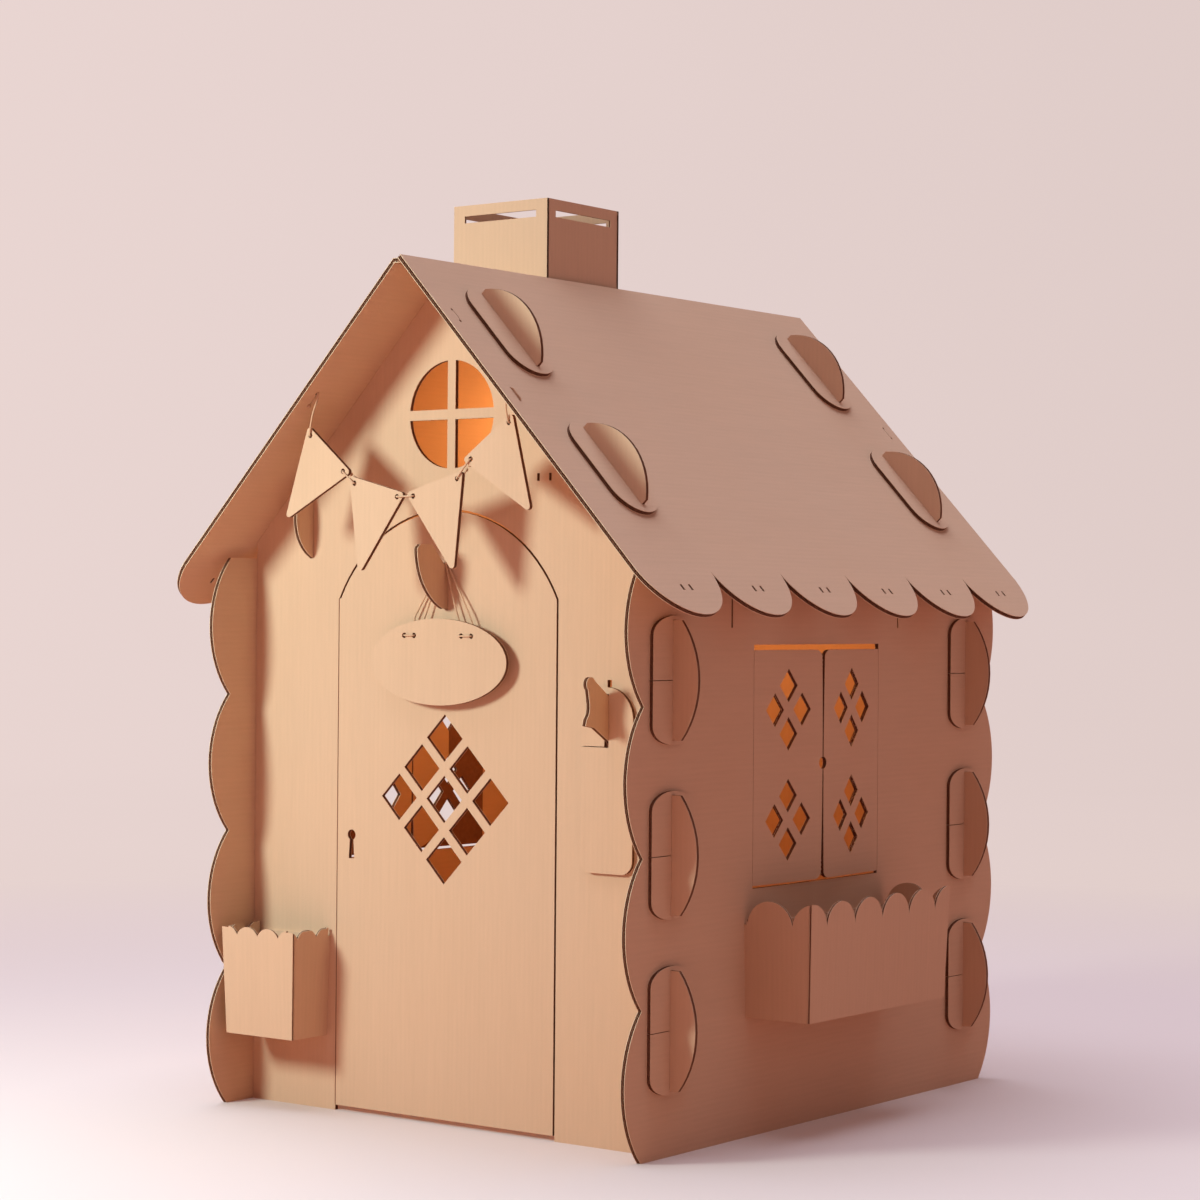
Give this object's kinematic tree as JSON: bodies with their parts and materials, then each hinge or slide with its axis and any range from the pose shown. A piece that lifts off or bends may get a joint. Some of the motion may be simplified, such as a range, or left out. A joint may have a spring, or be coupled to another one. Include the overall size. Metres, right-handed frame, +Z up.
{
  "type": "cardboard playhouse",
  "caption": "Slot-together corrugated board playhouse with scalloped eaves, an arched fold door, shuttered side windows, planters, bunting, a hanging sign and a chimney.",
  "frame": {"origin": "centre of the overall box at floor level, where the lower edges of the walls stand", "axes": "+Z up, the front gable with the door faces -Y, the wall with the window planter faces +X"},
  "size_m": [1.009, 1.076, 1.412],
  "materials": {
    "wall_board": "matte kraft liner, 7 mm double-wall flute at the cut edges",
    "roof_board": "matte kraft liner, 7 mm double-wall flute at the cut edges",
    "trim_board": "matte kraft liner, 7 mm double-wall flute at the cut edges",
    "light_board": "matte kraft liner, 4 mm single-wall flute at the cut edges",
    "cord": "twisted paper cord"
  },
  "bodies": {
    "root": {"front_wall": "wall_board", "back_wall": "wall_board", "left_wall": "wall_board", "right_wall": "wall_board", "left_roof": "roof_board", "right_roof": "roof_board", "chimney": "light_board", "door_planter": "light_board", "window_planter": "light_board", "door_hook": "trim_board", "barbed_hook": "trim_board", "half_moon_peg": "trim_board", "hook_plate": "trim_board", "door_sign": "trim_board", "sign_cord": "cord", "flag_1": "trim_board", "flag_2": "trim_board", "flag_3": "trim_board", "flag_4": "trim_board", "tie_1": "cord", "tie_2": "cord", "tie_3": "cord", "tie_4": "cord", "tie_5": "cord", "disc_front_left_1": "trim_board", "disc_front_left_2": "trim_board", "disc_front_left_3": "trim_board", "disc_front_right_1": "trim_board", "disc_front_right_2": "trim_board", "disc_front_right_3": "trim_board", "disc_back_left_1": "trim_board", "disc_back_left_2": "trim_board", "disc_back_left_3": "trim_board", "disc_back_right_1": "trim_board", "disc_back_right_2": "trim_board", "disc_back_right_3": "trim_board", "roof_disc_front_left_1": "trim_board", "roof_disc_front_left_2": "trim_board", "roof_disc_front_right_1": "trim_board", "roof_disc_front_right_2": "trim_board", "roof_disc_back_left_1": "trim_board", "roof_disc_back_left_2": "trim_board", "roof_disc_back_right_1": "trim_board", "roof_disc_back_right_2": "trim_board"}
  },
  "joints": []
}
